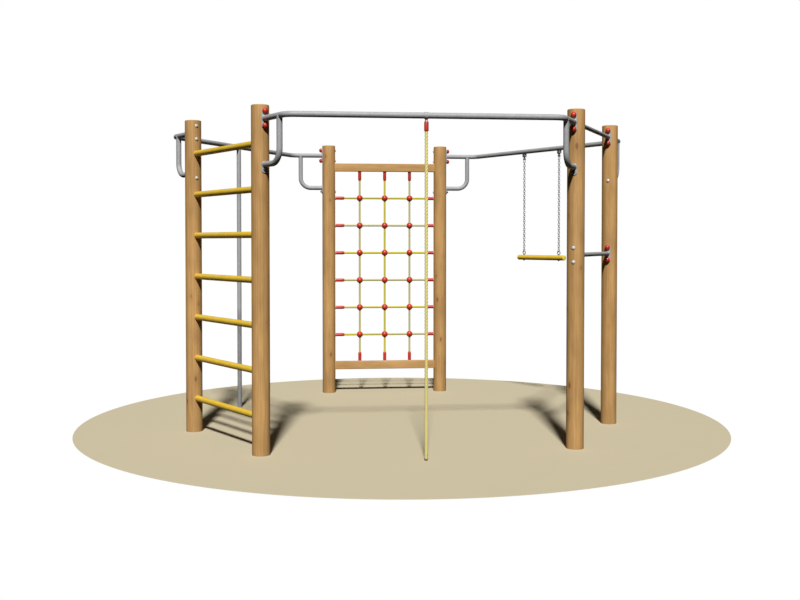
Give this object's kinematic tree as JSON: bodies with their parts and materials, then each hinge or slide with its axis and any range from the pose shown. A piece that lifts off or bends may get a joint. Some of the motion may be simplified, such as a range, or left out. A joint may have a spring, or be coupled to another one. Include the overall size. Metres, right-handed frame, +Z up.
{
  "type": "monkey bars",
  "caption": "Free-standing hexagonal climbing frame of timber posts and bent steel overhead bars, with ladder, net, pull-up bars, climbing rope, trapeze and fireman's pole.",
  "frame": {"origin": "on the ground, in the middle of the frame's outer box", "axes": "+Z up; -Y out through the front bay, where the climbing rope hangs; +X to the right of someone who faces the front bay"},
  "size_m": [3.821, 3.3886, 2.5],
  "materials": {
    "timber": "planed and oiled round softwood",
    "galvanised_steel": "hot-dip galvanised, satin",
    "yellow_coated_tube": "yellow powder coat",
    "capped_bolt": "galvanised bolt with moulded red cap",
    "net_rope": "laid rope with moulded red connectors",
    "rope_fibre": "three-strand laid rope",
    "red_plastic": "moulded, gloss"
  },
  "bodies": {
    "frame": {"bolt_back_left_handle": "capped_bolt", "bolt_back_left_top_lower": "capped_bolt", "bolt_back_left_top_upper": "capped_bolt", "bolt_back_right_handle": "capped_bolt", "bolt_back_right_top_lower": "capped_bolt", "bolt_back_right_top_upper": "capped_bolt", "bolt_front_left_handle": "capped_bolt", "bolt_front_left_top_lower": "capped_bolt", "bolt_front_left_top_upper": "capped_bolt", "bolt_front_right_handle": "capped_bolt", "bolt_front_right_middle_lower": "capped_bolt", "bolt_front_right_middle_upper": "capped_bolt", "bolt_front_right_top_lower": "capped_bolt", "bolt_front_right_top_upper": "capped_bolt", "bolt_left_handle": "capped_bolt", "bolt_left_top_lower": "capped_bolt", "bolt_left_top_upper": "capped_bolt", "bolt_right_handle": "capped_bolt", "bolt_right_middle_lower": "capped_bolt", "bolt_right_middle_upper": "capped_bolt", "bolt_right_top_lower": "capped_bolt", "bolt_right_top_upper": "capped_bolt", "fireman_pole": "galvanised_steel", "ladder_rung_1": "yellow_coated_tube", "ladder_rung_2": "yellow_coated_tube", "ladder_rung_3": "yellow_coated_tube", "ladder_rung_4": "yellow_coated_tube", "ladder_rung_5": "yellow_coated_tube", "ladder_rung_6": "yellow_coated_tube", "ladder_rung_7": "yellow_coated_tube", "net_rail_bottom": "timber", "net_rail_top": "timber", "net_rope_across_1": "net_rope", "net_rope_across_2": "net_rope", "net_rope_across_3": "net_rope", "net_rope_across_4": "net_rope", "net_rope_across_5": "net_rope", "net_rope_across_6": "net_rope", "net_rope_up_left": "net_rope", "net_rope_up_middle": "net_rope", "net_rope_up_right": "net_rope", "overhead_bar_back_left": "galvanised_steel", "overhead_bar_back_right": "galvanised_steel", "overhead_bar_front": "galvanised_steel", "post_back_left": "timber", "post_back_right": "timber", "post_front_left": "timber", "post_front_right": "timber", "post_left": "timber", "post_right": "timber", "pull_up_bar_lower": "galvanised_steel", "pull_up_bar_upper": "galvanised_steel"},
    "trapeze_swivels": {"trapeze_swivel_left": "galvanised_steel", "trapeze_swivel_right": "galvanised_steel"},
    "trapeze_chain_left": {"trapeze_chain_left": "galvanised_steel"},
    "trapeze_chain_right": {"trapeze_chain_right": "galvanised_steel"},
    "trapeze_bar": {"trapeze_bar": "yellow_coated_tube"},
    "rope_hanger": {"rope_hanger": "galvanised_steel"},
    "climbing_rope": {"rope_ferrule": "red_plastic", "climbing_rope": "rope_fibre"}
  },
  "joints": [
    {"name": "rope_swing", "type": "hinge", "parent": "frame", "child": "rope_hanger", "pos_m": [0, -1.66956, 2.4], "axis": [1, 0, 0], "range_deg": [-35, 35]},
    {"name": "rope_sway", "type": "hinge", "parent": "rope_hanger", "child": "climbing_rope", "pos_m": [0, -1.66956, 2.361], "axis": [0, 1, 0], "range_deg": [-25, 25]},
    {"name": "trapeze_swing", "type": "hinge", "parent": "frame", "child": "trapeze_swivels", "pos_m": [1.42112, 0.7919, 2.36], "axis": [-0.5, 0.866, 0], "range_deg": [-60, 60]},
    {"name": "trapeze_sway", "type": "hinge", "parent": "trapeze_swivels", "child": "trapeze_chain_left", "pos_m": [1.53862, 0.58838, 2.33], "axis": [-0.866, -0.5, 0], "range_deg": [-20, 20]},
    {"name": "trapeze_sway_right", "type": "hinge", "parent": "trapeze_swivels", "child": "trapeze_chain_right", "pos_m": [1.30363, 0.99542, 2.33], "axis": [-0.866, -0.5, 0], "range_deg": [-20, 20]},
    {"name": "trapeze_bar_level", "type": "hinge", "parent": "trapeze_chain_left", "child": "trapeze_bar", "pos_m": [1.53862, 0.58838, 1.425], "axis": [-0.866, -0.5, 0], "range_deg": [-20, 20]}
  ],
  "couplings": [
    {"joint": "trapeze_sway_right", "follows": "trapeze_sway", "ratio": 1},
    {"joint": "trapeze_bar_level", "follows": "trapeze_sway", "ratio": -1}
  ]
}
